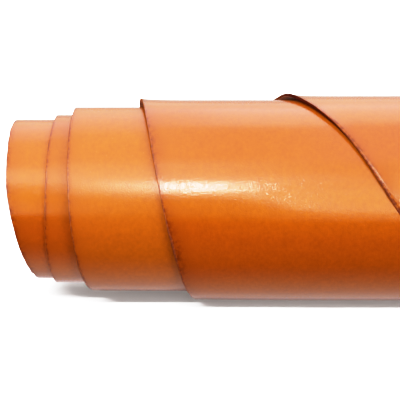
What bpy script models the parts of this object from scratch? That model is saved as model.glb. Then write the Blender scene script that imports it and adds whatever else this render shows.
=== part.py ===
"""A trimmed side of smooth tanned leather, rolled up with its turns stepped at one end.

The hide is one thin sheet wound into an open spiral. It lies along X, rests on a
small flat under the roll, and its free end comes down the front, which faces -Y.
Metres, +Z up. The origin is under the middle of the roll, on the surface.
"""
from collections import namedtuple
from math import cos, exp, floor, pi, radians, sin

import bmesh
import bpy

THICKNESS = 0.0018            # of the leather
ROLL_LENGTH = 0.600           # from the foremost edge to the straight cut at the far end
FAR_END_STEP = 0.0013         # each turn's far end lies this much further in
REST_DEPTH = 0.0010           # how far the roll's weight flattens its lowest turn

# The winding is counted in turns. A whole number is at the top, a quarter more at the
# front, a half at the bottom and three quarters at the back.
ROLL_START = -0.600
ROLL_END = 5.425
LOWEST_PLACE = 4.500          # the roll lies on this place of the winding
STEPS_PER_TURN = 40

CORNER_CUT = 0.060            # turns, by which the free end's near corner is cut round
CORNER_REACH = 0.045          # how far in from the edge that cut dies away
CORNER_RUN = 0.250            # turns, over which the sheet runs into the cut
LIFT_REACH = 0.006            # how far in from the edge its lift dies away
NEAR_COLUMNS = (0.000, 0.005, 0.014, 0.060)    # distances in from the stepped edge

LEATHER_COLOUR = (0.60, 0.17, 0.015, 1.0)
LEATHER_ROUGHNESS = 0.32
SHARP_ANGLE = radians(40)

# Each row is one turn of the winding, from the core outwards, and its four values
# steer a smooth curve at the top, front, bottom and back of that turn. In millimetres:
# radius of the grain side, place of the stepped edge along the roll, and lift of that
# edge off the turn under it.
MM = 0.001
FIRST_TURN = -1
Turn = namedtuple("Turn", "radius edge lift")
WINDING = (
    Turn((41.2, 41.9, 42.6, 43.3), (13.0, 15.0, 16.0, 15.0), (0.0, 0.0, 0.0, 0.0)),
    Turn((44.0, 44.6, 45.2, 46.0), (13.0, 12.0, 10.0, 4.0), (0.0, 0.0, 0.0, 0.0)),
    Turn((47.2, 47.1, 48.4, 49.2), (0.0, 3.2, 21.2, 20.0), (0.0, 0.0, 0.0, 0.1)),
    Turn((49.8, 49.7, 50.6, 52.2), (27.0, 23.2, 24.8, 33.0), (0.2, 0.1, 0.0, 0.1)),
    Turn((54.6, 56.6, 54.9, 57.7), (37.2, 36.6, 50.0, 67.5), (0.2, 0.1, 0.1, 0.5)),
    Turn((58.5, 60.5, 61.6, 61.1), (75.0, 90.0, 115.0, 124.0), (1.3, 0.5, 0.3, 1.0)),
    Turn((60.6, 63.0, 64.2, 65.2), (161.0, 221.0, 286.0, 352.0), (1.7, 1.2, 1.0, 1.0)),
)


def winding_curve(column, place):
    """One column of the winding at a place counted in turns: a uniform cubic B-spline."""
    values = [value for row in WINDING for value in getattr(row, column)]
    quarters = (place - FIRST_TURN) * 4
    knot = floor(quarters)
    t = quarters - knot
    weights = (
        (1 - t) ** 3,
        3 * t ** 3 - 6 * t ** 2 + 4,
        -3 * t ** 3 + 3 * t ** 2 + 3 * t + 1,
        t ** 3,
    )
    return MM * sum(w * v for w, v in zip(weights, values[knot - 1:])) / 6


def ease(value):
    """0 below 0, 1 above 1, and a smooth rise between."""
    value = min(max(value, 0.0), 1.0)
    return value * value * (3 - 2 * value)


def rolled_place(place, column):
    """Where a point of the flat sheet's grain side lies once the sheet is rolled up."""
    is_far_end = column == len(NEAR_COLUMNS)
    if not is_far_end:
        in_corner = ease((place - ROLL_END) / CORNER_RUN + 1)
        place -= CORNER_CUT * in_corner * exp(-NEAR_COLUMNS[column] / CORNER_REACH)
    near_edge = winding_curve("edge", place)
    far_edge = ROLL_LENGTH - FAR_END_STEP * (place - ROLL_START)
    along = far_edge if is_far_end else near_edge + NEAR_COLUMNS[column]

    lift = winding_curve("lift", place) * exp((near_edge - along) / LIFT_REACH)
    radius = winding_curve("radius", place) + lift
    angle = 2 * pi * place
    rest_height = REST_DEPTH - winding_curve("radius", LOWEST_PLACE)
    height = max(radius * cos(angle), rest_height)
    return along, -radius * sin(angle), height


def leather():
    material = bpy.data.materials.new("leather")
    material.use_nodes = True
    shader = material.node_tree.nodes["Principled BSDF"]
    shader.inputs["Base Color"].default_value = LEATHER_COLOUR
    shader.inputs["Roughness"].default_value = LEATHER_ROUGHNESS
    shader.inputs["Metallic"].default_value = 0.0
    return material


def rolled_sheet():
    """The grain side: a flat grid whose rows are wound up one after the other."""
    columns = len(NEAR_COLUMNS)
    rows = round((ROLL_END - ROLL_START) * STEPS_PER_TURN)
    sheet = bmesh.new()
    bmesh.ops.create_grid(sheet, x_segments=columns, y_segments=rows, size=0.5)
    for vert in sheet.verts:
        column = round((vert.co.x + 0.5) * columns)
        row = round((vert.co.y + 0.5) * rows)
        vert.co = rolled_place(ROLL_START + row / STEPS_PER_TURN, column)
    bmesh.ops.reverse_faces(sheet, faces=sheet.faces)
    mesh = bpy.data.meshes.new("hide")
    sheet.to_mesh(mesh)
    sheet.free()
    mesh.shade_smooth()
    mesh.set_sharp_from_angle(angle=SHARP_ANGLE)
    return mesh


def under_the_middle(mesh):
    """The object's location that puts the origin under the middle of the roll."""
    xs, ys, zs = zip(*(vert.co for vert in mesh.vertices))
    return -(min(xs) + max(xs)) / 2, -(min(ys) + max(ys)) / 2, -min(zs)


def build():
    for thing in list(bpy.data.objects):
        bpy.data.objects.remove(thing)
    mesh = rolled_sheet()
    mesh.materials.append(leather())
    hide = bpy.data.objects.new("hide", mesh)
    hide.location = under_the_middle(mesh)
    bpy.context.collection.objects.link(hide)
    solidify = hide.modifiers.new("thickness", "SOLIDIFY")
    solidify.thickness = THICKNESS
    solidify.offset = -1.0        # the grain side stays where it is
    solidify.use_even_offset = True


build()
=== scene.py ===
from math import cos, exp, floor, pi, radians, sin, tan

import bmesh
import bpy
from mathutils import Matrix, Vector, noise


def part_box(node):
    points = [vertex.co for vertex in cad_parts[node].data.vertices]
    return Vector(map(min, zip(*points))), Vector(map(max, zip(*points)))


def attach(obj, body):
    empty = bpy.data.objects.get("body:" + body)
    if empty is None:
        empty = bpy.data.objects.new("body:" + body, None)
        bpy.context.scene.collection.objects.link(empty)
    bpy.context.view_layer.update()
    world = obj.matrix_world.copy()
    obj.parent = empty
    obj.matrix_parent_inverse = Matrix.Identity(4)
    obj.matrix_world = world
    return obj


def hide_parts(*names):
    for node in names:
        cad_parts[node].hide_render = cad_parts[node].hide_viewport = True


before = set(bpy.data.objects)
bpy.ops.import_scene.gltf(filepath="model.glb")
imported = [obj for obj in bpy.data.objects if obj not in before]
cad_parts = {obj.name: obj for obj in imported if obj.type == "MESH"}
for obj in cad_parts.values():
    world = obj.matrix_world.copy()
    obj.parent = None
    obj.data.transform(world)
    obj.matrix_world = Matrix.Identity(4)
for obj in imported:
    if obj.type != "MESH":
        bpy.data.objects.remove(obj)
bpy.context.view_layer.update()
print("frame loaded, nodes:", len(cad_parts))

# The hide is one sheet, wound up. Places along the winding are counted in turns: a whole
# number is at the top of the roll, then come its front, its bottom and its back.
# Each row of a table is one turn, from the core outwards, and its four values steer a
# smooth curve at the top, front, bottom and back of that turn. The tables hold
# millimetres, or thousandths where a note says so, and other lengths are in metres.
hide = {
    "thickness": 0.0018,
    "rollLength": 0.600,      # from the foremost edge to the straight cut at the far end
    "farEndStep": 0.0013,     # each turn's far end lies this much further in
    "restDepth": 0.0010,      # how far the lowest turn is flattened
    "restSoftness": 0.0004,   # how softly that flat runs out
    "firstTurn": -1,          # the turn of each table's first row
    "start": -0.600,          # the places where the sheet starts and ends
    "end": 5.425,
    "lowest": 4.500,          # the place on which the roll lies
    "cornerCut": 0.060,       # turns, by which the free end's near corner is cut round
    "cornerReach": 0.045,     # how far in from the edge that cut dies away
    "cornerRun": 0.250,       # turns, over which the sheet runs into it
    "stepsPerTurn": 220,
    "solidStepsPerTurn": 40,  # of the solid that the sheet stands for
    # the mesh's columns: distances in from the stepped edge and from the far end, and
    # those between, which stand closer together towards the stepped edge
    "nearColumns": (0.0, 0.0006, 0.0016, 0.0030, 0.0050, 0.0080, 0.0120, 0.0180),
    "farColumns": (0.0080, 0.0030, 0.0010, 0.0),
    "middleColumns": 17,
    "middleGrowth": 1.7,
    # of the grain side
    "radius": (
        (41.2, 41.9, 42.6, 43.3),
        (44.0, 44.6, 45.2, 46.0),
        (47.2, 47.1, 48.4, 49.2),
        (49.8, 49.7, 50.6, 52.2),
        (54.6, 56.6, 54.9, 57.7),
        (58.5, 60.5, 61.6, 61.1),
        (60.6, 63.0, 64.2, 65.2),
    ),
    # how far along the roll the stepped edge lies
    "edge": (
        (13.0, 15.0, 16.0, 15.0),
        (13.0, 12.0, 10.0, 4.0),
        (0.0, 3.2, 21.2, 20.0),
        (27.0, 23.2, 24.8, 33.0),
        (37.2, 36.6, 50.0, 67.5),
        (75.0, 90.0, 115.0, 124.0),
        (161.0, 221.0, 286.0, 352.0),
    ),
    # where that edge bows along the roll, by how much, and over how many turns
    "bows": (
        {"place": 1.185, "height": -0.0011, "spread": 0.040},
        {"place": 1.430, "height": -0.0012, "spread": 0.018},
        {"place": 3.955, "height": -0.0006, "spread": 0.020},
        {"place": 4.940, "height": 0.0025, "spread": 0.030},
        {"place": 5.130, "height": 0.0009, "spread": 0.040},
    ),
    # where it curls off the turn under it or lies down on it, and how far in that dies away
    "curls": (
        {"place": 3.480, "height": -0.0005, "spread": 0.060, "reach": 0.0350},
        {"place": 3.965, "height": 0.0010, "spread": 0.030, "reach": 0.0060},
        {"place": 4.470, "height": -0.0009, "spread": 0.050, "reach": 0.0350},
        {"place": 4.975, "height": 0.0014, "spread": 0.026, "reach": 0.0050},
        {"place": 5.125, "height": 0.0007, "spread": 0.090, "reach": 0.0025},
    ),
    # the free end's edge is pared down, so that its dark cut faces the front
    "paring": {"drop": 0.0013, "reach": 0.0024, "begins": (5.00, 5.20)},
    # ridges along the roll, on the turns that stand out at the stepped end
    "ridges": (
        {"place": 1.245, "height": 0.00020, "spread": 0.0080},
        {"place": 1.292, "height": 0.00024, "spread": 0.0085},
        {"place": 2.243, "height": 0.00016, "spread": 0.0080},
        {"place": 2.286, "height": 0.00020, "spread": 0.0080},
        {"place": 3.262, "height": 0.00008, "spread": 0.0070},
    ),
    "ridgeReach": 0.070,
    # the turn under the free end bulges at the front, from a place along the roll onwards
    "bulge": {"height": 0.0018, "rises": (4.200, 4.245), "falls": (4.250, 4.450),
              "begins": (0.138, 0.168)},
    # unevenness of the cut line and of the sheet, as wavelengths and heights
    "cutWaver": ((0.0400, 0.00045), (0.0110, 0.00016), (0.0045, 0.00020)),
    "swell": ((0.1100, 0.00014), (0.0350, 0.00005), (0.0220, 0.00004)),
    "swellStretch": 3,        # a swell is this many times longer along the roll
    "seeds": {"nearCut": 3.7, "farCut": 9.1, "swell": 5.3},      # for their noise
    # edges that turn by more than this angle, in degrees, are rounded
    "cutRounding": {"angle": 50, "width": 0.00045, "segments": 3},
    # how dark the stepped edge is painted, in thousandths, and how far in from it: rubbed
    # wear, and painted shade where the edge meets the turn under it, strongest along the free
    # end
    "burnishAndShade": (
        (600, 600, 600, 600),
        (600, 600, 600, 600),
        (600, 600, 600, 600),
        (600, 600, 600, 600),
        (600, 700, 800, 500),
        (500, 550, 150, 200),
        (1200, 1200, 900, 500),
    ),
    "burnishAndShadeReach": (
        (1.0, 1.0, 1.0, 1.0),
        (1.0, 1.0, 1.0, 1.0),
        (1.0, 1.0, 1.0, 1.0),
        (1.0, 1.0, 1.0, 1.0),
        (1.0, 1.2, 1.2, 1.2),
        (1.0, 1.0, 1.0, 1.0),
        (1.2, 1.6, 1.6, 3.0),
    ),
    # a weaker wear that reaches further in, in thousandths, and spots that are rubbed more
    "handling": (
        (150, 150, 150, 150),
        (150, 150, 150, 150),
        (150, 400, 300, 150),
        (150, 150, 150, 150),
        (150, 150, 150, 150),
        (260, 250, 310, 300),
        (100, 450, 450, 300),
    ),
    "rubs": (
        {"place": 4.120, "height": 0.20, "spread": 0.030},
        {"place": 4.285, "height": 0.50, "spread": 0.034},
    ),
    "handlingReach": 0.0055,
    "wornRunOut": 1.5,                 # the power with which both run out
    "otherBorders": (0.6, 0.004),      # strength and reach along the other three edges
    # roughness of the grain side, in thousandths
    "roughness": (
        (220, 220, 220, 220),
        (220, 220, 220, 220),
        (160, 150, 160, 170),
        (170, 160, 170, 200),
        (220, 220, 200, 160),
        (105, 100, 130, 130),
        (130, 130, 130, 130),
    ),
    # painted light and shade: how deep and red the leather's colour is painted at places
    # within each turn, palest just under the highlight and deepest low on the front, and for
    # each turn how much of that shows, in thousandths
    "paintedShading": ((0.00, 0.65), (0.12, 0.50), (0.175, 0.46), (0.208, 0.26), (0.226, 0.40),
               (0.250, 0.95), (0.275, 1.15), (0.32, 1.10), (0.37, 0.55), (0.60, 0.5),
               (1.00, 0.65)),
    "paintedShadingShare": (
        (900, 900, 900, 900),
        (900, 900, 900, 900),
        (1000, 1000, 700, 900),
        (900, 900, 600, 600),
        (550, 500, 700, 700),
        (1000, 1000, 1000, 1000),
        (1000, 1000, 1000, 1000),
    ),
}
thousandth = 0.001      # and a millimetre in metres


def windingCurve(column, place):
    # one table's value at a place: a uniform cubic B-spline
    values = [value for turn in hide[column] for value in turn]
    quarters = (place - hide["firstTurn"]) * 4
    knot = floor(quarters)
    t = quarters - knot
    weights = (
        (1 - t) ** 3,
        3 * t ** 3 - 6 * t ** 2 + 4,
        -3 * t ** 3 + 3 * t ** 2 + 3 * t + 1,
        t ** 3,
    )
    return thousandth * sum(w * v for w, v in zip(weights, values[knot - 1:])) / 6


def smooth(value, start, stop):
    # 0 up to the start, 1 from the stop on, and a smooth rise between
    share = min(max((value - start) / (stop - start), 0.0), 1.0)
    return share * share * (3 - 2 * share)


def waver(waves, along, across, seed):
    return sum(
        height * noise.noise(Vector((along / wave, across / wave, seed)))
        for wave, height in waves
    )


def bumps(rows, place):
    return sum(
        row["height"] * exp(-((place - row["place"]) / row["spread"]) ** 2 / 2)
        for row in rows
    )


def curl(place, inside):
    # inside is the distance in from the stepped edge
    return sum(bumps([row], place) * exp(-inside / row["reach"]) for row in hide["curls"])


def paring(place, inside):
    facts = hide["paring"]
    return facts["drop"] * smooth(place, *facts["begins"]) * max(
        1 - inside / facts["reach"], 0) ** 2


def bulge(place, along):
    facts = hide["bulge"]
    return facts["height"] * (
        smooth(place, *facts["rises"]) - smooth(place, *facts["falls"])
    ) * smooth(along, *facts["begins"])


def softFloor(height, lowest, softness):
    # height, but eased so that it never goes under the lowest value
    easeReach = 4      # times the softness
    over = (height - lowest) / softness
    if over > easeReach:
        return height
    over = max(over, -easeReach)
    return lowest + softness * (over + (over ** 2 + 1) ** 0.5) / 2


def cutBack(place, column):
    # the place on the winding, moved back where the free end's near corner is cut round
    near = hide["nearColumns"]
    deepInside = 1.0      # so far in that no cut reaches it
    inside = near[column] if column < len(near) else deepInside
    corner = smooth(place, hide["end"] - hide["cornerRun"], hide["end"])
    return place - hide["cornerCut"] * corner * exp(-inside / hide["cornerReach"])


def edgeLines(place, length):
    # how far along the roll the stepped edge and the far end lie
    waves, seeds = hide["cutWaver"], hide["seeds"]
    nearEdge = windingCurve("edge", place)
    nearEdge += bumps(hide["bows"], place) + waver(waves, length, 0.0, seeds["nearCut"])
    farEdge = hide["rollLength"] - hide["farEndStep"] * (place - hide["start"])
    farEdge += waver(waves, length, 0.0, seeds["farCut"])
    return nearEdge, farEdge


def columnAlong(column, nearEdge, farEdge):
    # how far along the roll a column of the sheet lies
    near, far = hide["nearColumns"], hide["farColumns"]
    middleColumns = hide["middleColumns"]
    if column < len(near):
        return nearEdge + near[column]
    if column >= len(near) + middleColumns:
        return farEdge - far[column - len(near) - middleColumns]
    share = (column - len(near) + 1) / (middleColumns + 1)
    start, stop = nearEdge + near[-1], farEdge - far[0]
    return start + share ** hide["middleGrowth"] * (stop - start)


def rolledPoint(place, length, along, inside, lowest):
    # where a point of the flat sheet's grain side lies once the sheet is rolled up
    radius = windingCurve("radius", place)
    radius += curl(place, inside) - paring(place, inside)
    radius += bumps(hide["ridges"], place) * exp(-inside / hide["ridgeReach"])
    swell = waver(hide["swell"], length, along / hide["swellStretch"], hide["seeds"]["swell"])
    radius += bulge(place, along) + swell
    angle = 2 * pi * place
    height = softFloor(radius * cos(angle), lowest, hide["restSoftness"])
    return Vector((along, -radius * sin(angle), height))


def wearAndShadeShare(place, inside, otherEdge):
    # how dark the grain is painted near the stepped edge, by wear and painted shade, or by
    # wear near the other three
    wearAndShade = windingCurve("burnishAndShade", place) * exp(
        -(inside / windingCurve("burnishAndShadeReach", place)) ** hide["wornRunOut"])
    wearAndShade += (windingCurve("handling", place) + bumps(hide["rubs"], place)) * exp(
        -(inside / hide["handlingReach"]) ** hide["wornRunOut"])
    strength, reach = hide["otherBorders"]
    return max(wearAndShade, strength * exp(-otherEdge / reach))


def paintedShadingDepth(place):
    # how much painted shade the leather's colour shows at a place
    within = place % 1
    rows = hide["paintedShading"]
    for (start, low), (stop, high) in zip(rows, rows[1:]):
        if within <= stop:
            depth = low + (high - low) * smooth(within, start, stop)
            return depth * windingCurve("paintedShadingShare", place)


def flatLengths():
    # distance along the sheet at each step of the winding
    steps = round((hide["end"] - hide["start"]) * hide["stepsPerTurn"])
    places = [hide["start"] + step / hide["stepsPerTurn"] for step in range(steps + 1)]
    lengths = [0.0]
    for before, after in zip(places, places[1:]):
        radius = windingCurve("radius", (before + after) / 2) - hide["thickness"] / 2
        lengths.append(lengths[-1] + radius * 2 * pi * (after - before))
    return places, lengths


def rollShift():
    # puts the winding where the solid has it
    low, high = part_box("hide")
    outline = []
    solidStep = 1 / hide["solidStepsPerTurn"]
    for step in range(round((hide["end"] - hide["start"]) / solidStep) + 1):
        place = hide["start"] + step * solidStep
        radius = windingCurve("radius", place) + bumps(hide["curls"], place)
        outline.append(-radius * sin(2 * pi * place))
    return Vector((
        high.x - hide["rollLength"],
        (low.y + high.y) / 2 - (min(outline) + max(outline)) / 2,
        low.z + windingCurve("radius", hide["lowest"]) - hide["restDepth"],
    ))


def rolledHide(shift):
    places, lengths = flatLengths()
    rows = len(places) - 1
    columns = len(hide["nearColumns"]) + hide["middleColumns"] + len(hide["farColumns"]) - 1
    lowest = hide["restDepth"] - windingCurve("radius", hide["lowest"])
    half = 0.5      # of the square grid that is rolled up
    sheet = bmesh.new()
    bmesh.ops.create_grid(sheet, x_segments=columns, y_segments=rows, size=half)
    # the stepped edge's wear and painted shade, and the painted light and shade round each
    # turn, are kept on the vertices
    burnishAndShade = sheet.verts.layers.float.new("burnishAndShade")
    roughness = sheet.verts.layers.float.new("roughness")
    depth = sheet.verts.layers.float.new("paintedShadingDepth")
    flatMap = sheet.loops.layers.uv.new("flatHide")
    flat = {}
    for vert in sheet.verts:
        column = round((vert.co.x + half) * columns)
        row = round((vert.co.y + half) * rows)
        length = lengths[row]
        place = cutBack(places[row], column)
        nearEdge, farEdge = edgeLines(place, length)
        along = columnAlong(column, nearEdge, farEdge)
        inside = along - nearEdge
        otherEdge = min(farEdge - along, length, lengths[-1] - length)
        vert.co = shift + rolledPoint(place, length, along, inside, lowest)
        vert[burnishAndShade] = wearAndShadeShare(place, inside, otherEdge)
        vert[roughness] = windingCurve("roughness", place)
        vert[depth] = paintedShadingDepth(place)
        flat[vert.index] = (length, along)
    for face in sheet.faces:
        for loop in face.loops:
            loop[flatMap].uv = flat[loop.vert.index]
    bmesh.ops.reverse_faces(sheet, faces=sheet.faces)
    mesh = bpy.data.meshes.new("rolledHide")
    sheet.to_mesh(mesh)
    sheet.free()
    mesh.shade_smooth()
    rolled = bpy.data.objects.new("rolledHide", mesh)
    bpy.context.collection.objects.link(rolled)
    return rolled, lengths[-1]


class Wire:
    # an output socket that takes part in shader maths
    def __init__(self, finish, socket):
        self.finish, self.socket = finish, socket

    def maths(self, operation, *values):
        return self.finish.node("ShaderNodeMath", {"operation": operation},
                                dict(enumerate(values)))

    def __add__(self, other):
        return self.maths("ADD", self, other)

    def __radd__(self, other):
        return self.maths("ADD", other, self)

    def __sub__(self, other):
        return self.maths("SUBTRACT", self, other)

    def __rsub__(self, other):
        return self.maths("SUBTRACT", other, self)

    def __mul__(self, other):
        return self.maths("MULTIPLY", self, other)

    def __rmul__(self, other):
        return self.maths("MULTIPLY", other, self)

    def power(self, other):
        return self.maths("POWER", self, other)


class Finish:
    # one material and the nodes behind its shader
    def __init__(self, name, fixed):
        self.material = bpy.data.materials.new(name)
        self.material.use_nodes = True
        self.tree = self.material.node_tree
        self.shader = self.tree.nodes["Principled BSDF"]
        for socket, value in fixed.items():
            self.shader.inputs[socket].default_value = value

    def node(self, kind, settings, sockets, output=0):
        node = self.tree.nodes.new(kind)
        for name, value in settings.items():
            setattr(node, name, value)
        for key, value in sockets.items():
            if isinstance(value, Wire):
                self.tree.links.new(value.socket, node.inputs[key])
            else:
                node.inputs[key].default_value = value
        return Wire(self, node.outputs[output])

    def feed(self, socket, wire):
        self.tree.links.new(wire.socket, self.shader.inputs[socket])

    def flatHide(self):
        # metres along the winding and along the roll
        return self.node("ShaderNodeUVMap", {"uv_map": "flatHide"}, {})

    def objectPlace(self):
        return self.node("ShaderNodeTexCoord", {}, {}, "Object")

    def attribute(self, name):
        return self.node("ShaderNodeAttribute", {"attribute_name": name}, {}, "Fac")

    def blend(self, share, first, second, how="MIX"):
        # a colour Mix has its two colours at inputs 6 and 7 and its result at output 2
        return self.node("ShaderNodeMix", {"data_type": "RGBA", "blend_type": how},
                         {0: share, 6: first, 7: second}, 2)

    def shaded(self, colour, shade):
        grey = self.node("ShaderNodeCombineColor", {},
                         {"Red": shade, "Green": shade, "Blue": shade})
        return self.blend(1.0, colour, grey, "MULTIPLY")

    def between(self, value, low, high, newLow=0.0, newHigh=1.0):
        return self.node(
            "ShaderNodeMapRange", {"interpolation_type": "SMOOTHSTEP"},
            {"Value": value, "From Min": low, "From Max": high,
             "To Min": newLow, "To Max": newHigh})

    def noise(self, where, scale, detail=2.0, roughness=0.5):
        return self.node("ShaderNodeTexNoise", {},
                         {"Vector": where, "Scale": scale, "Detail": detail,
                          "Roughness": roughness})

    def relief(self, height, strength):
        self.feed("Normal", self.node(
            "ShaderNodeBump", {}, {"Strength": strength, "Distance": 1.0, "Height": height}))


grain = {
    # the leather's paler and deeper tones, which also serve as painted light and painted
    # shade
    "deepAndShaded": (0.390, 0.0982, 0.00414, 1.0),
    "paleAndLit": (0.484, 0.1597, 0.00594, 1.0),
    # the colour of a worn border, which also paints the shade along the stepped edge
    "burnishedAndShaded": (0.183, 0.0366, 0.00180, 1.0),
    "ior": 1.65,
    # how many lie in a metre of hide; streaks are long along the roll and narrow round it
    "clouds": 5.0,
    "blotches": 130.0,
    "specks": 420.0,
    "streaks": (420.0, 38.0, 1.0),
    "cloudDepth": 1.2,               # how far clouds shift the depth of the colour
    "shade": {"least": 0.69, "blotches": 0.18, "specks": 0.32},
    # a worn and painted-shade border breaks up into blotches, and into dots where specks are
    # strong
    "burnishAndShade": {"least": 0.05, "blotches": 0.9, "dots": (0.40, 0.60)},
    # what adds to the roughness; a border's wear and painted shade does so at a power of
    # itself
    "roughness": {"specks": 0.05, "fine": 0.16, "burnishAndShade": 0.65, "power": 4.0},
    "poreSize": 0.0008,
    "poreRim": 0.40,                 # share of its size at which a pore is level
    "poreDepth": 0.000022,
    "streakDepth": 0.000016,
    "pebbleSize": 0.0011,
    "pebbleDepth": 0.000045,
    "fineSize": 0.0006,
    "fineDepth": 0.000040,
    "relief": 1.0,
}


def grainColour(finish, flat, rubbedAndShaded, specks):
    blotches = finish.noise(flat, grain["blotches"], detail=3.0, roughness=0.6)
    clouds = finish.noise(flat, grain["clouds"], detail=3.0)
    # painted light and shade: the turn's painted depth, shifted at random by clouds, blends
    # the pale colour into the deep one
    depth = finish.attribute("paintedShadingDepth") + grain["cloudDepth"] * (clouds - 0.5)
    colour = finish.blend(depth, grain["paleAndLit"], grain["deepAndShaded"])
    facts = grain["shade"]
    shade = facts["least"] + facts["blotches"] * blotches + facts["specks"] * specks
    # the border's wear and painted shade darken the colour towards the burnished one
    facts = grain["burnishAndShade"]
    dots = finish.between(specks, *facts["dots"])
    burnishAndShade = rubbedAndShaded * (facts["least"] + facts["blotches"] * blotches + dots)
    return finish.blend(burnishAndShade, finish.shaded(colour, shade), grain["burnishedAndShaded"])


def grainHeight(finish, flat, fine):
    pores = finish.node("ShaderNodeTexVoronoi", {"feature": "F1"},
                        {"Vector": flat, "Scale": 1 / grain["poreSize"]})
    poreHeight = finish.between(pores, 0.0, grain["poreRim"])
    stretched = finish.node("ShaderNodeMapping", {},
                            {"Vector": flat, "Scale": grain["streaks"]})
    streaks = finish.noise(stretched, 1.0, detail=3.0)
    pebbles = finish.noise(flat, 1 / grain["pebbleSize"], detail=1.0)
    return (grain["poreDepth"] * poreHeight + grain["streakDepth"] * streaks
            + grain["pebbleDepth"] * pebbles + grain["fineDepth"] * fine)


def grainSide():
    finish = Finish("grainSide", {"IOR": grain["ior"]})
    flat = finish.flatHide()
    # wear and painted shade along the edges
    rubbedAndShaded = finish.attribute("burnishAndShade")
    specks = finish.noise(flat, grain["specks"], roughness=0.6)
    fine = finish.noise(flat, 1 / grain["fineSize"], detail=0.0)
    finish.feed("Base Color", grainColour(finish, flat, rubbedAndShaded, specks))
    facts = grain["roughness"]
    roughness = (finish.attribute("roughness") + facts["specks"] * (specks - 0.5)
                 + facts["fine"] * (fine - 0.5)
                 + facts["burnishAndShade"] * rubbedAndShaded.power(facts["power"]))
    finish.feed("Roughness", roughness)
    finish.relief(grainHeight(finish, flat, fine), grain["relief"])
    return finish.material


flesh = {
    "colour": (0.430, 0.190, 0.065, 1.0),
    "dustColour": (0.560, 0.290, 0.130, 1.0),
    "clouds": 60.0,                  # how many lie in a metre of hide
    "dusty": (0.3, 0.7),             # between these values of the clouds the dust sets in
    "roughness": 0.92,
    "specular": 0.20,
    "sheen": 0.25,
    "fibreSize": 0.0012,
    "fibreDepth": 0.00010,
    "relief": 0.8,
}


def fleshSide():
    finish = Finish("fleshSide", {"Roughness": flesh["roughness"],
                                  "Specular IOR Level": flesh["specular"],
                                  "Sheen Weight": flesh["sheen"]})
    flat = finish.flatHide()
    clouds = finish.noise(flat, flesh["clouds"], detail=4.0, roughness=0.6)
    fibres = finish.noise(flat, 1 / flesh["fibreSize"], detail=4.0, roughness=0.7)
    dust = finish.between(clouds, *flesh["dusty"])
    finish.feed("Base Color", finish.blend(dust, flesh["colour"], flesh["dustColour"]))
    finish.relief(flesh["fibreDepth"] * fibres, flesh["relief"])
    return finish.material


cut = {
    "colour": (0.230, 0.072, 0.010, 1.0),         # of the inner turns
    "freeEndColour": (0.075, 0.012, 0.003, 1.0),
    "freeEnd": (0.95, 1.2),          # between these values of the wear and painted shade it turns dark
    "roughness": 0.60,
    "specular": 0.05,
    "fibres": 900.0,                 # how many lie in a metre
    "fibreShade": (0.35, 0.70, 0.8, 1.8),      # fibres between two values, and their shades
    "fibreDepth": 0.00008,
    "relief": 0.6,
}


def cutEdge():
    finish = Finish("cutEdge", {"Roughness": cut["roughness"],
                                "Specular IOR Level": cut["specular"]})
    fibres = finish.noise(finish.objectPlace(), cut["fibres"], detail=3.0, roughness=0.6)
    # the free end's cut turns dark where the painted shade along its edge is strongest
    dark = finish.between(finish.attribute("burnishAndShade"), *cut["freeEnd"])
    colour = finish.blend(dark, cut["colour"], cut["freeEndColour"])
    shade = finish.between(fibres, *cut["fibreShade"])
    finish.feed("Base Color", finish.shaded(colour, shade))
    finish.relief(cut["fibreDepth"] * fibres, cut["relief"])
    return finish.material


def giveThickness(rolled):
    grainSlot, fleshSlot, cutSlot = range(3)
    for material in (grainSide(), fleshSide(), cutEdge()):
        rolled.data.materials.append(material)
    thickness = rolled.modifiers.new("thickness", "SOLIDIFY")
    thickness.thickness = hide["thickness"]
    thickness.offset = -1.0      # the grain side stays where it is
    thickness.use_even_offset = True
    thickness.material_offset = fleshSlot - grainSlot
    thickness.material_offset_rim = cutSlot - grainSlot
    rounding = rolled.modifiers.new("roundedCut", "BEVEL")
    rounding.width = hide["cutRounding"]["width"]
    rounding.segments = hide["cutRounding"]["segments"]
    rounding.limit_method = "ANGLE"
    rounding.angle_limit = radians(hide["cutRounding"]["angle"])
    rounding.material = cutSlot      # its corners are bare cut, without the grain's gloss


shift = rollShift()
rolled, flatLength = rolledHide(shift)
giveThickness(rolled)
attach(rolled, "root")
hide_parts("hide")
print("hide rolled,", round(flatLength, 3), "m long when flat")

stage = {
    "radius": 3.2,
    "wallHeight": 1.6,
    "coveRadius": 0.9,
    "coveSteps": 12,
    "segments": 96,
    "colour": (0.30, 0.30, 0.30, 1.0),
    "roughness": 0.9,
    "specular": 0.1,
    "nearGlow": (0.31, 0.295, 0.29, 1.0),    # glow painted into the floor near the roll, lightening its shadow
    "farGlow": (2.50, 2.50, 2.50, 1.0),      # and far away from it
    "glowGrows": (0.35, 1.30),               # between these distances
    "tableHalf": 1.5,
    "tableDepth": 0.0010,
    "tableColour": (0.17, 0.16, 0.16, 1.0),
    "shineDepth": 0.0012,
    "shine": (1.42, 1.20, 1.18, 1.0),        # what the roll's underside reflects
    "shineRises": (-0.078, -0.026),          # between these places on the table
    "shineFalls": (-0.026, -0.014),          # and falls again close under the outer turns, a painted shadow of the roll
    "shineLoss": 0.6,                        # by this share
    "outerTurns": (-0.215, -0.185),
    "thirdTurn": (-0.264, -0.248),
    "furtherBack": 0.010,                    # under the third turn it falls this much later
}
black = (0, 0, 0, 1)


def newStage(name, shape, material):
    mesh = bpy.data.meshes.new(name)
    shape.to_mesh(mesh)
    shape.free()
    mesh.shade_smooth()
    thing = bpy.data.objects.new(name, mesh)
    bpy.context.collection.objects.link(thing)
    thing.data.materials.append(material)
    return thing


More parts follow.
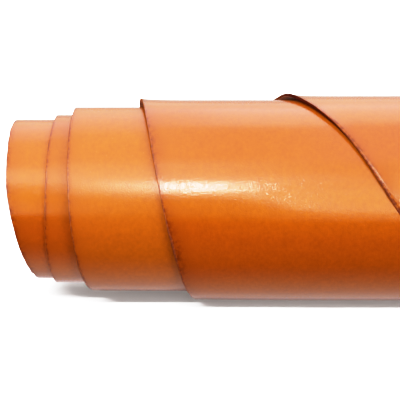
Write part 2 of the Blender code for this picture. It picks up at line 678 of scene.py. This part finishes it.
def coveShape():
    # a round floor that curves up into a wall, so that no horizon shows from any side
    bowl = bmesh.new()
    coveRadius, steps = stage["coveRadius"], stage["coveSteps"]
    centre = Vector((stage["radius"] - coveRadius, 0, coveRadius))
    profile = [Vector((0, 0, 0))]
    for step in range(steps + 1):
        angle = -pi / 2 + step / steps * pi / 2
        profile.append(centre + coveRadius * Vector((cos(angle), 0, sin(angle))))
    profile.append(Vector((stage["radius"], 0, stage["wallHeight"])))
    points = [bowl.verts.new(point) for point in profile]
    edges = [bowl.edges.new(pair) for pair in zip(points, points[1:])]
    bmesh.ops.spin(bowl, geom=points + edges, cent=(0, 0, 0), axis=(0, 0, 1),
                   angle=2 * pi, steps=stage["segments"], use_merge=True)
    bmesh.ops.remove_doubles(bowl, verts=bowl.verts, dist=0.0001)
    bmesh.ops.recalc_face_normals(bowl, faces=bowl.faces)
    return bowl


def infinityCove():
    finish = Finish("cove", {"Base Color": stage["colour"], "Roughness": stage["roughness"],
                             "Specular IOR Level": stage["specular"],
                             "Emission Strength": 1.0})
    away = finish.node("ShaderNodeVectorMath", {"operation": "LENGTH"},
                       {0: finish.objectPlace()}, "Value")
    distant = finish.between(away, *stage["glowGrows"])
    # painted light: the floor glows, faintly near the roll and brightly far from it
    finish.feed("Emission Color", finish.blend(distant, stage["nearGlow"], stage["farGlow"]))
    cove = newStage("cove", coveShape(), finish.material)
    # the tables just under it are what the roll sees
    cove.visible_diffuse = False
    cove.visible_glossy = False
    cove.visible_shadow = False
    return cove


def table(name, depth, finish):
    top = bmesh.new()
    bmesh.ops.create_grid(top, x_segments=1, y_segments=1, size=stage["tableHalf"])
    bmesh.ops.translate(top, verts=top.verts, vec=(0, 0, -depth))
    top = newStage(name, top, finish.material)
    top.visible_camera = False
    return top


def tableTop():
    finish = Finish("tableTop", {"Base Color": stage["tableColour"],
                                 "Roughness": stage["roughness"]})
    table("tableTop", stage["tableDepth"], finish).visible_glossy = False


def tableShine():
    finish = Finish("tableShine", {"Base Color": black, "Specular IOR Level": 0.0,
                                   "Emission Strength": 1.0})
    place = finish.objectPlace()
    along = finish.node("ShaderNodeSeparateXYZ", {}, {0: place}, "X")
    depth = finish.node("ShaderNodeSeparateXYZ", {}, {0: place}, "Y")
    rise = finish.between(depth, *stage["shineRises"])
    outer = finish.between(along, *stage["outerTurns"])
    # a painted shadow of the roll: the glow falls close under the outer turns
    fall = finish.between(depth - stage["furtherBack"] * (1.0 - outer), *stage["shineFalls"])
    fall = fall * finish.between(along, *stage["thirdTurn"])
    lit = rise * (1.0 - stage["shineLoss"] * fall)
    finish.feed("Emission Color", finish.blend(lit, black, stage["shine"]))
    table("tableShine", stage["shineDepth"], finish).visible_diffuse = False


cove = infinityCove()
tableTop()
tableShine()
print("floor and wall made")

# Each light panel hangs 1.1 m from the roll and faces it. It reaches along the roll, in
# metres from the picture's middle, and round it, in degrees: 0 is level at the front and
# 90 is overhead. A few are tinted.
panelDistance = 1.1
panels = {
    "frontHigh": {"along": (-0.45, 0.09), "round": (34, 56), "brightness": 2.82},
    "frontHighRight": {"along": (0.09, 0.45), "round": (34, 56), "brightness": 1.49},
    "frontMiddle": {"along": (-0.20, 0.45), "round": (26, 34), "brightness": 1.78},
    "rightMiddle": {"along": (0.02, 0.45), "round": (16, 26), "brightness": 2.41},
    "leftLow": {"along": (-0.45, -0.19), "round": (-12, 7), "brightness": 0.831},
    "leftSide": {"along": (-1.30, -0.45), "round": (-12, 20), "brightness": 6.57},
    "leftSideHigh": {"along": (-1.30, -0.45), "round": (20, 56), "brightness": 8.68},
    "rightSide": {"along": (0.45, 1.30), "round": (-12, 20), "brightness": 10.6},
    "rightLow": {"along": (0.10, 0.45), "round": (6, 16), "brightness": 0.551},
    "overheadLeft": {"along": (-0.90, 0.00), "round": (56, 104), "brightness": 1.71},
    "overheadRight": {"along": (0.00, 0.19), "round": (56, 104), "brightness": 1.42},
    "overheadFar": {"along": (0.19, 0.90), "round": (56, 104), "brightness": 1.44,
                    "tint": (0.97, 0.97, 1.35)},
    "behindLeft": {"along": (-0.90, 0.00), "round": (104, 140), "brightness": 2.12,
                   "tint": (1.0, 0.98, 1.20)},
    "behindRight": {"along": (0.00, 0.90), "round": (104, 140), "brightness": 2.86,
                    "tint": (1.0, 0.98, 1.10)},
    "behindLow": {"along": (-0.90, 0.90), "round": (140, 156), "brightness": 1.66},
    "behindRim": {"along": (-0.90, 0.90), "round": (156, 178), "brightness": 0.7},
    "frontGlow": {"along": (-0.30, 0.25), "round": (32, 41), "brightness": 1.04},
    "bulbLeft": {"along": (-0.075, -0.045), "round": (23, 32), "brightness": 13.6},
    "bulb": {"along": (-0.045, -0.002), "round": (23.3, 32.4), "brightness": 54.0,
             "tint": (0.95, 1.04, 1.09)},
    "bulbRight": {"along": (-0.002, 0.022), "round": (23.4, 31.4), "brightness": 11.0,
                  "tint": (0.95, 1.00, 1.12)},
    "bulbNext": {"along": (0.022, 0.044), "round": (23, 31), "brightness": 3.2},
    "bulbFade": {"along": (0.044, 0.075), "round": (24, 31), "brightness": 0.8},
    "bulbGlow": {"along": (-0.080, 0.040), "round": (20, 35), "brightness": 2.0},
}
# these two light the floor alone; the narrow one gives the roll's shadow its sharp front
floorLights = {
    "floorAbove": {"size": (3.0, 3.0), "along": 0.0, "round": 90, "away": 1.2,
                   "brightness": 12.0},
    "floorFront": {"size": (1.8, 0.12), "along": -0.9, "round": 43, "away": 1.9,
                   "brightness": 500.0},
}


def newLight(name, size, brightness, place, tilt):
    lamp = bpy.data.lights.new(name, "AREA")
    lamp.shape = "RECTANGLE"
    lamp.size, lamp.size_y = size
    lamp.energy = brightness * pi * size[0] * size[1]      # keeps its brightness at any size
    light = bpy.data.objects.new(name, lamp)
    light.location = place
    light.rotation_euler = (tilt, 0, 0)
    light.visible_camera = False
    bpy.context.collection.objects.link(light)
    return light


def lightPanel(name, facts, target):
    left, right = facts["along"]
    low, high = (radians(angle) for angle in facts["round"])
    middle = (low + high) / 2
    size = (right - left, 2 * panelDistance * tan((high - low) / 2))
    away = Vector((0, -cos(middle), sin(middle))) * panelDistance
    place = target + away + Vector(((left + right) / 2, 0, 0))
    light = newLight(name, size, facts["brightness"], place, pi / 2 - middle)
    light.data.color = facts.get("tint", (1, 1, 1))


def lightOnFloor(name, facts, receivers):
    angle = radians(facts["round"])
    place = Vector((0, -cos(angle), sin(angle))) * facts["away"]
    place.x = facts["along"]
    light = newLight(name, facts["size"], facts["brightness"], place, pi / 2 - angle)
    light.visible_glossy = False
    light.light_linking.receiver_collection = receivers


camera = {
    "lookAlong": 0.110,       # place along the roll at the picture's middle
    "elevation": 15.0,
    "distance": 0.600,
    "lens": 90.0,
    "aimDrop": 0.0012,        # the picture's middle lies just under the roll's axis
    "sees": (0.01, 20),       # from this near to this far
}
middle = shift + Vector((camera["lookAlong"], 0, 0))
for name, facts in panels.items():
    lightPanel(name, facts, middle)
onlyFloor = bpy.data.collections.new("onlyFloor")
onlyFloor.objects.link(cove)
for name, facts in floorLights.items():
    lightOnFloor(name, facts, onlyFloor)

room = (0.406, 0.406, 0.406, 1.0)
world = bpy.data.worlds.new("studio")
world.use_nodes = True
world.node_tree.nodes["Background"].inputs["Color"].default_value = room
bpy.context.scene.world = world

lens = bpy.data.cameras.new("camera")
lens.lens = camera["lens"]
lens.clip_start, lens.clip_end = camera["sees"]
viewer = bpy.data.objects.new("camera", lens)
rise = radians(camera["elevation"])
back = Vector((0, -cos(rise), sin(rise)))
up = Vector((0, sin(rise), cos(rise)))
viewer.location = middle + back * camera["distance"] - up * camera["aimDrop"]
viewer.rotation_euler = back.to_track_quat("Z", "Y").to_euler()
bpy.context.collection.objects.link(viewer)
bpy.context.scene.camera = viewer

# the photograph's contrast, with a soft shoulder under white
film = {
    "gamma": 0.667,
    "white": 2.0,
    "shoulder": ((0.30, 0.30), (0.60, 0.60), (0.90, 0.83), (1.20, 0.93), (1.50, 0.97)),
}
view = bpy.context.scene.view_settings
view.view_transform = "Standard"
view.gamma = film["gamma"]
view.use_curve_mapping = True
view.curve_mapping.white_level = [film["white"]] * 3
combined = view.curve_mapping.curves[3]      # after those of red, green and blue
for given, shown in film["shoulder"]:
    combined.points.new(given / film["white"], shown)
view.curve_mapping.update()
print("lights and camera set")
